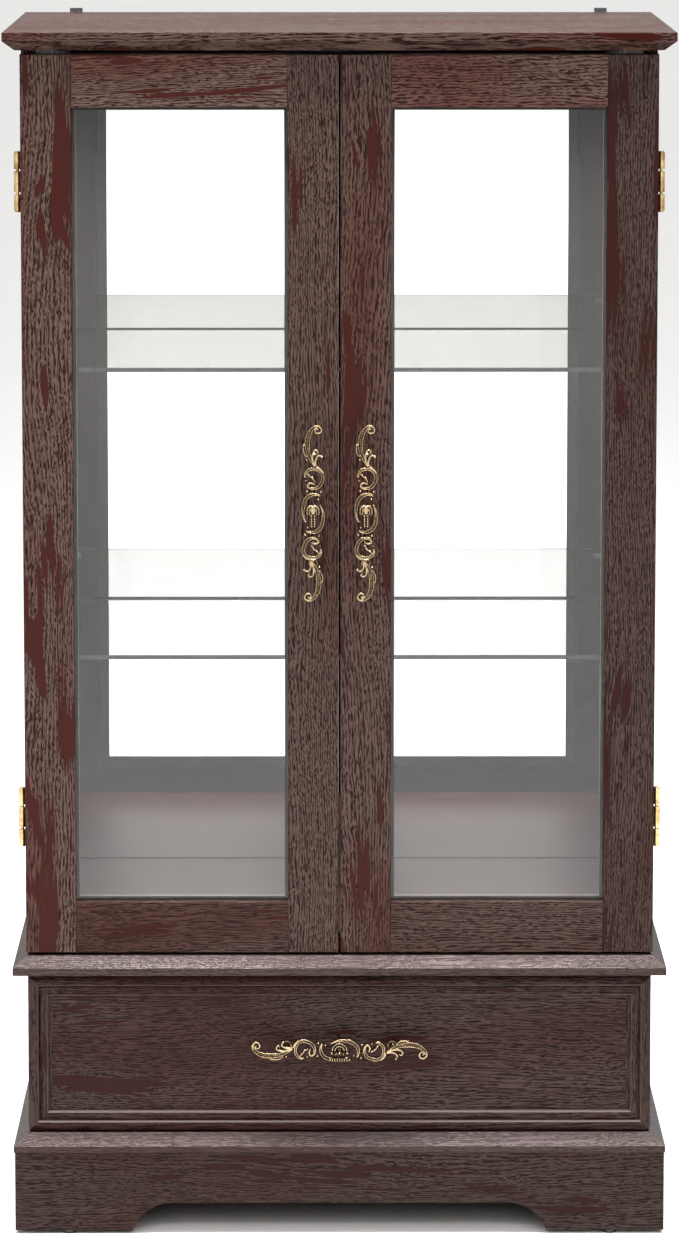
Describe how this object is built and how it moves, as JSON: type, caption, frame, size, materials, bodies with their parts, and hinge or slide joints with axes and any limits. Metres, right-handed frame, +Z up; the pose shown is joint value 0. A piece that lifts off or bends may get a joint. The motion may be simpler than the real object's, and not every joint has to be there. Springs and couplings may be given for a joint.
{
  "type": "china cabinet with glass doors",
  "caption": "Dark wood display cabinet: glazed double doors on butt hinges over a mirrored case with glass shelves, and a drawer in a moulded base on a cut-out plinth.",
  "frame": {"origin": "floor level under the middle of the overall box", "axes": "+Z up, +X to the right of a person facing the front, -Y out of the front (doors open towards -Y)"},
  "size_m": [0.6, 0.3626, 1.1015],
  "materials": {
    "mahogany_wood": "embossed dark mahogany-oak grain, satin",
    "drawer_box_wood": "plain smooth brown, matt",
    "back_board": "smooth hardboard, matt",
    "beech": "turned, matt",
    "antique_brass": "aged cast brass with dark recesses",
    "polished_brass": "polished",
    "brass_screws": "plated",
    "zinc_steel": "zinc plated",
    "black_steel": "black painted",
    "dark_retainer": "dark brown strip",
    "dark_plastic": "dark brown plastic",
    "clear_glass": "clear float glass",
    "shelf_glass": "clear glass with polished edges",
    "mirror": "silvered"
  },
  "bodies": {
    "cabinet": {"anti_tip_brackets": "black_steel", "base_board": "mahogany_wood", "bracket_screws": "black_steel", "cabinet_leaf_screws": "brass_screws", "cam_bolts": "zinc_steel", "cam_locks": "zinc_steel", "carcass_dowels": "beech", "display_floor": "mahogany_wood", "door_bumpers": "dark_plastic", "floor_glides": "dark_plastic", "hinge_cabinet_leaves": "polished_brass", "hinge_pins": "polished_brass", "lower_back_panel": "back_board", "lower_glass_shelf": "shelf_glass", "lower_side_left": "mahogany_wood", "lower_side_right": "mahogany_wood", "magnetic_catch": "dark_plastic", "mirror": "mirror", "plinth_back": "mahogany_wood", "plinth_front": "mahogany_wood", "plinth_side_left": "mahogany_wood", "plinth_side_right": "mahogany_wood", "shelf_pegs": "zinc_steel", "slide_outer_members": "zinc_steel", "top_board": "mahogany_wood", "upper_back_panel": "back_board", "upper_glass_shelf": "shelf_glass", "upper_side_left": "mahogany_wood", "upper_side_right": "mahogany_wood", "waist_board": "mahogany_wood"},
    "door_left": {"left_bottom_rail": "mahogany_wood", "left_door_glass": "clear_glass", "left_glass_retainers": "dark_retainer", "left_handle": "antique_brass", "left_handle_screws": "zinc_steel", "left_hinge_leaves": "polished_brass", "left_hinge_stile": "mahogany_wood", "left_leaf_screws": "brass_screws", "left_meeting_stile": "mahogany_wood", "left_strike_plate": "zinc_steel", "left_top_rail": "mahogany_wood"},
    "door_right": {"right_bottom_rail": "mahogany_wood", "right_door_glass": "clear_glass", "right_glass_retainers": "dark_retainer", "right_handle": "antique_brass", "right_handle_screws": "zinc_steel", "right_hinge_leaves": "polished_brass", "right_hinge_stile": "mahogany_wood", "right_leaf_screws": "brass_screws", "right_meeting_stile": "mahogany_wood", "right_strike_plate": "zinc_steel", "right_top_rail": "mahogany_wood"},
    "drawer": {"drawer_front": "mahogany_wood", "drawer_handle": "antique_brass", "drawer_handle_screws": "zinc_steel", "drawer_side_left": "drawer_box_wood", "drawer_side_right": "drawer_box_wood", "drawer_back": "drawer_box_wood", "drawer_bottom": "back_board", "slide_inner_members": "zinc_steel"}
  },
  "joints": [
    {"name": "door_left_hinge", "type": "hinge", "parent": "cabinet", "child": "door_left", "pos_m": [-0.2887, -0.1391, 0.672], "axis": [0, 0, -1], "range_deg": [0, 170]},
    {"name": "door_right_hinge", "type": "hinge", "parent": "cabinet", "child": "door_right", "pos_m": [0.2887, -0.1391, 0.672], "axis": [0, 0, 1], "range_deg": [0, 170]},
    {"name": "drawer_slide", "type": "slide", "parent": "cabinet", "child": "drawer", "axis": [0, -1, 0], "range_m": [0, 0.22]}
  ]
}
